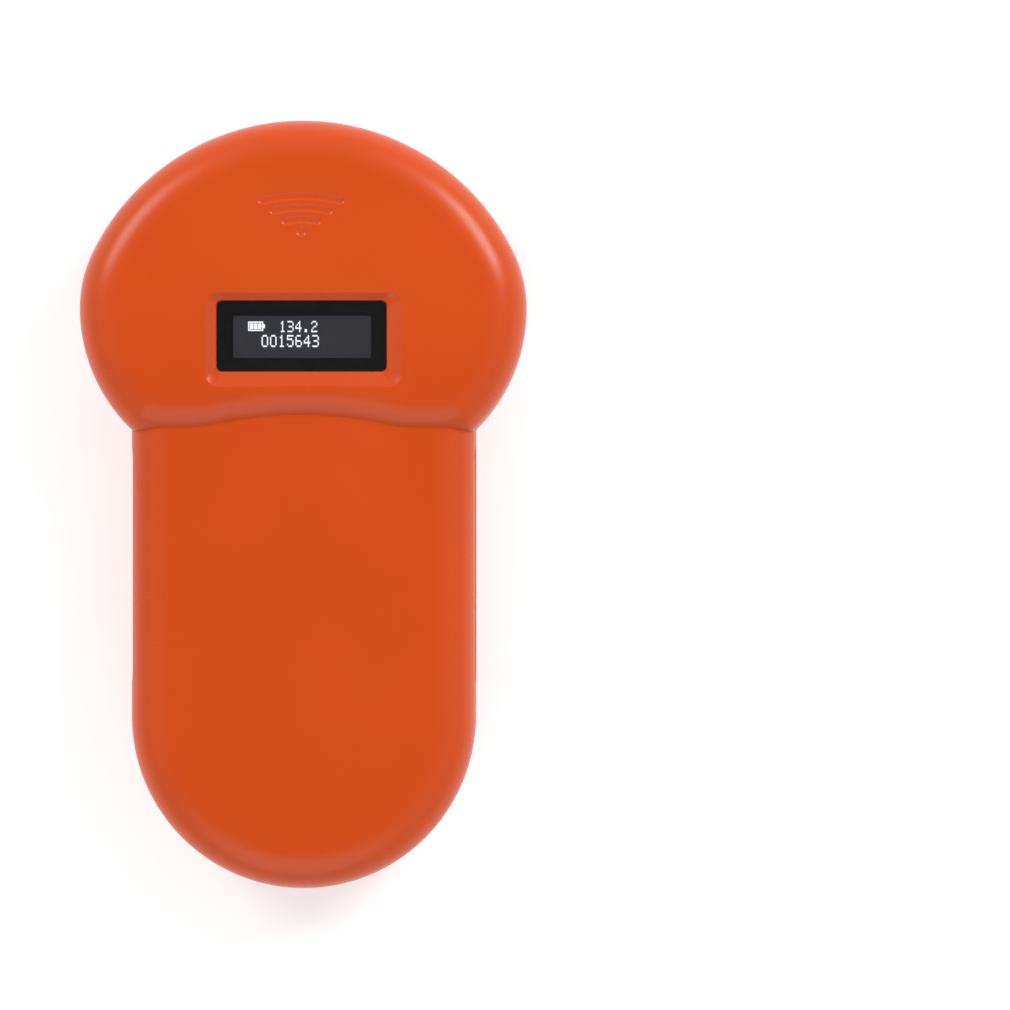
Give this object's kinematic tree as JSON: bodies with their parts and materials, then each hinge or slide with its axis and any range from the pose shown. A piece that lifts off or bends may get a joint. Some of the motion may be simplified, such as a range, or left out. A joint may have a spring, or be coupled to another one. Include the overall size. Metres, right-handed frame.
{
  "type": "handheld microchip scanner",
  "caption": "Handheld animal microchip reader with a round head, small display, flat handle, finger trigger on the back and a charging socket in the tail.",
  "frame": {"origin": "middle of the length and width, on the plane of the flat back; the scanner lies on its back", "axes": "+X to the right when the display is read, +Y from the tail to the head, +Z out of the display"},
  "size_m": [0.08, 0.1376, 0.025],
  "materials": {
    "orange_shell": "fine satin texture",
    "screw_steel": "satin",
    "dark_window": "polished",
    "tape": "matt",
    "display_glass": "polished",
    "flex_film": "satin",
    "black_plastic": "matt",
    "green_board": "satin",
    "chip": "matt",
    "tin_steel": "satin",
    "ceramic_cap": "matt",
    "film_cap": "satin",
    "ferrite": "matt",
    "gold": "polished",
    "spring_steel": "satin",
    "cream_plastic": "satin",
    "button_plastic": "matt",
    "copper": "enamelled gloss",
    "amber_tape": "satin",
    "foil": "satin",
    "foam": "matt",
    "red_wire": "satin",
    "black_wire": "satin"
  },
  "bodies": {
    "casing": {"front_cover": "orange_shell", "back_cover": "orange_shell", "case_screws": "screw_steel", "display_window": "dark_window", "window_tape": "tape", "oled_glass": "display_glass", "oled_flex": "flex_film", "display_holder": "black_plastic", "main_board": "green_board", "board_screws": "screw_steel", "controller_chip": "chip", "reader_chip": "chip", "charger_chip": "chip", "crystal": "tin_steel", "board_capacitors": "ceramic_cap", "board_resistors": "chip", "tuning_capacitors": "film_cap", "power_inductor": "ferrite", "buzzer": "black_plastic", "buzzer_pins": "tin_steel", "usb_shell": "tin_steel", "usb_tongue": "black_plastic", "usb_contacts": "gold", "switch_housing": "black_plastic", "switch_cover": "tin_steel", "switch_terminals": "tin_steel", "switch_dome": "spring_steel", "antenna_coil": "copper", "antenna_tape": "amber_tape", "antenna_lead_start": "copper", "antenna_lead_end": "copper", "battery_cell": "foil", "battery_guard_board": "green_board", "battery_tape": "amber_tape", "battery_pad": "foam", "battery_lead_red": "red_wire", "battery_lead_black": "black_wire", "battery_plug": "cream_plastic", "battery_header": "cream_plastic"},
    "trigger": {"trigger_button": "button_plastic"},
    "plunger": {"switch_plunger": "cream_plastic"}
  },
  "joints": [
    {"name": "trigger_press", "type": "slide", "parent": "casing", "child": "trigger", "axis": [0, 0, 1], "range_m": [0, 0.0005], "stiffness_N_per_m": 1200, "springref_m": -0.001},
    {"name": "plunger_press", "type": "slide", "parent": "casing", "child": "plunger", "axis": [0, 0, 1], "range_m": [0, 0.0005], "deforming": ["switch_dome"]}
  ],
  "couplings": [
    {"joint": "plunger_press", "follows": "trigger_press", "ratio": 1}
  ]
}
